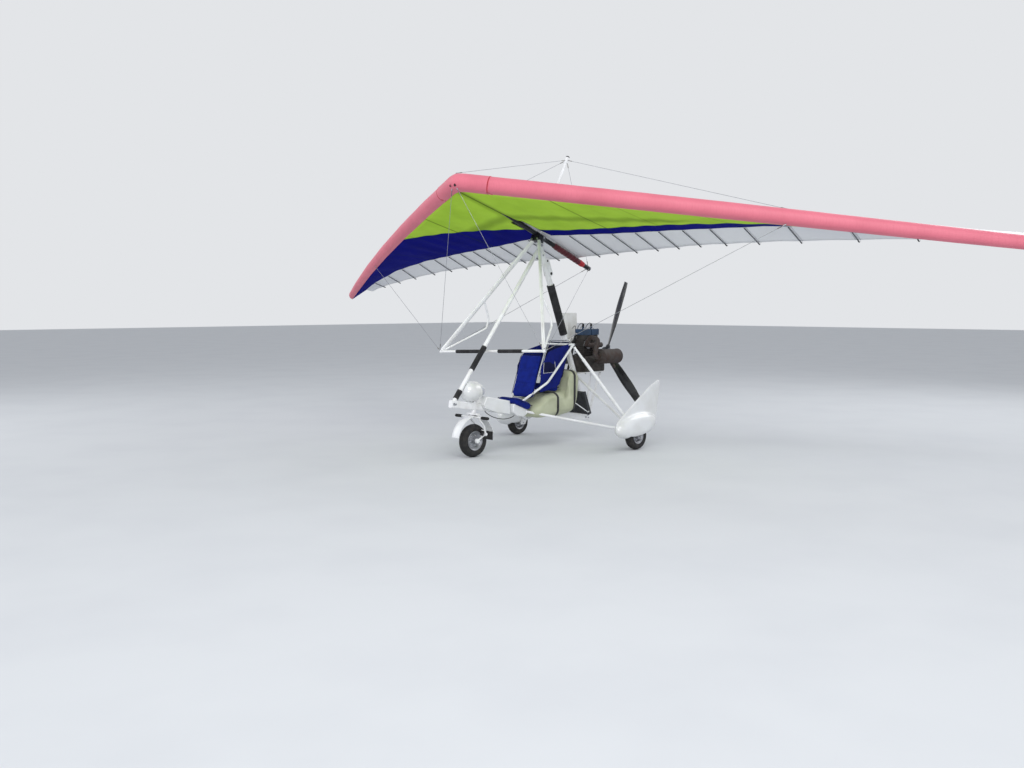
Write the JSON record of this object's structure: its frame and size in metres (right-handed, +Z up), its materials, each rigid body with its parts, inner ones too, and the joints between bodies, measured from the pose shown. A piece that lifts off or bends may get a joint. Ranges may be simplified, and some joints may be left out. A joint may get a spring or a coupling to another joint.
{
  "type": "flexwing microlight aircraft",
  "caption": "Two-seat flexwing microlight: a swept fabric wing on a triangular control frame over a three-wheeled tube trike with a pusher propeller.",
  "frame": {"origin": "on the ground, at the middle of the whole aircraft's box as it is parked", "axes": "+X to the nose, +Y to port, +Z up"},
  "size_m": [2.8472, 9.523, 3.2292],
  "materials": {
    "white_frame": "white gloss powder coat",
    "black_foam": "closed-cell foam",
    "seat_cloth": "woven, padded",
    "white_gelcoat": "moulded gelcoat",
    "tank_plastic": "moulded, a little see-through",
    "strap_web": "woven web",
    "radiator_core": "black paint on fins",
    "engine_alloy": "cast, dull, oily",
    "head_blue": "blue paint",
    "silencer_plastic": "moulded",
    "exhaust_steel": "heat-browned steel",
    "prop_composite": "black composite",
    "hub_alloy": "machined",
    "tyre": "worn black",
    "rim_alloy": "cast, silver",
    "sail_pink": "coated sailcloth",
    "sail_white": "coated sailcloth",
    "sail_lime": "coated sailcloth",
    "sail_blue": "coated sailcloth",
    "wing_tube": "anodised",
    "batten_tube": "dull",
    "wire_steel": "stranded",
    "sleeve_cloth": "woven"
  },
  "bodies": {
    "trike": {"keel_beam": "white_frame", "mast": "white_frame", "front_strut": "white_frame", "frame_padding": "black_foam", "seat_frame_top": "white_frame", "seat_frame_sides": "white_frame", "main_legs": "white_frame", "lower_struts": "white_frame", "wheel_fairing_left": "white_gelcoat", "wheel_fairing_right": "white_gelcoat", "leg_box": "white_gelcoat", "instrument_pod": "white_gelcoat", "front_seat_cushion": "seat_cloth", "front_seat_back": "seat_cloth", "rear_seat_cushion": "seat_cloth", "rear_seat_back": "seat_cloth", "seat_web_left": "seat_cloth", "seat_web_right": "seat_cloth", "seat_tray": "white_gelcoat", "fuel_tank": "tank_plastic", "tank_straps": "strap_web", "radiator": "radiator_core", "engine_bed": "white_frame", "engine": "engine_alloy", "cylinder_heads": "head_blue", "intake_silencer": "silencer_plastic", "exhaust": "exhaust_steel"},
    "propeller": {"propeller_hub": "hub_alloy", "propeller_blades": "prop_composite"},
    "fork": {"fork": "white_frame", "mudguard": "white_gelcoat", "mudguard_flap": "black_foam"},
    "front_wheel": {"front_tyre": "tyre", "front_rim": "rim_alloy"},
    "rear_left_wheel": {"rear_left_tyre": "tyre", "rear_left_rim": "rim_alloy"},
    "rear_right_wheel": {"rear_right_tyre": "tyre", "rear_right_rim": "rim_alloy"},
    "hang_block": {"hang_block": "hub_alloy"},
    "wing": {"wing_keel": "wing_tube", "kingpost": "white_frame", "nose_cover": "sail_pink", "leading_edge_left": "sail_pink", "leading_edge_right": "sail_pink", "sail_left": "sail_white", "sail_right": "sail_white", "underside_front_left": "sail_lime", "underside_front_right": "sail_lime", "underside_rear_left": "sail_blue", "underside_rear_right": "sail_blue", "battens": "batten_tube", "apex_bracket": "hub_alloy", "base_bar": "white_frame", "downtubes": "white_frame", "bar_grips": "black_foam", "side_handles": "white_frame", "keel_sleeve": "sleeve_cloth", "rigging": "wire_steel"}
  },
  "joints": [
    {"name": "steering", "type": "hinge", "parent": "trike", "child": "fork", "pos_m": [1.093, 0, 0.5], "axis": [-0.1392, 0, 0.9903], "range_deg": [-30, 30]},
    {"name": "front_wheel_spin", "type": "hinge", "parent": "fork", "child": "front_wheel", "pos_m": [1.108, 0, 0.172], "axis": [0, 1, 0], "continuous": true},
    {"name": "rear_left_wheel_spin", "type": "hinge", "parent": "trike", "child": "rear_left_wheel", "pos_m": [-0.49, 0.891, 0.15], "axis": [0, 1, 0], "continuous": true},
    {"name": "rear_right_wheel_spin", "type": "hinge", "parent": "trike", "child": "rear_right_wheel", "pos_m": [-0.49, -0.891, 0.15], "axis": [0, 1, 0], "continuous": true},
    {"name": "propeller_spin", "type": "hinge", "parent": "trike", "child": "propeller", "pos_m": [-1.09, 0, 1.012], "axis": [1, 0, 0], "continuous": true},
    {"name": "wing_pitch", "type": "hinge", "parent": "trike", "child": "hang_block", "pos_m": [0.086, 0, 2.218], "axis": [0, 1, 0], "range_deg": [0, 22]},
    {"name": "wing_roll", "type": "hinge", "parent": "hang_block", "child": "wing", "pos_m": [0.05331, 0, 2.30185], "axis": [0.9317, 0, 0.3633], "range_deg": [-15, 15]}
  ]
}
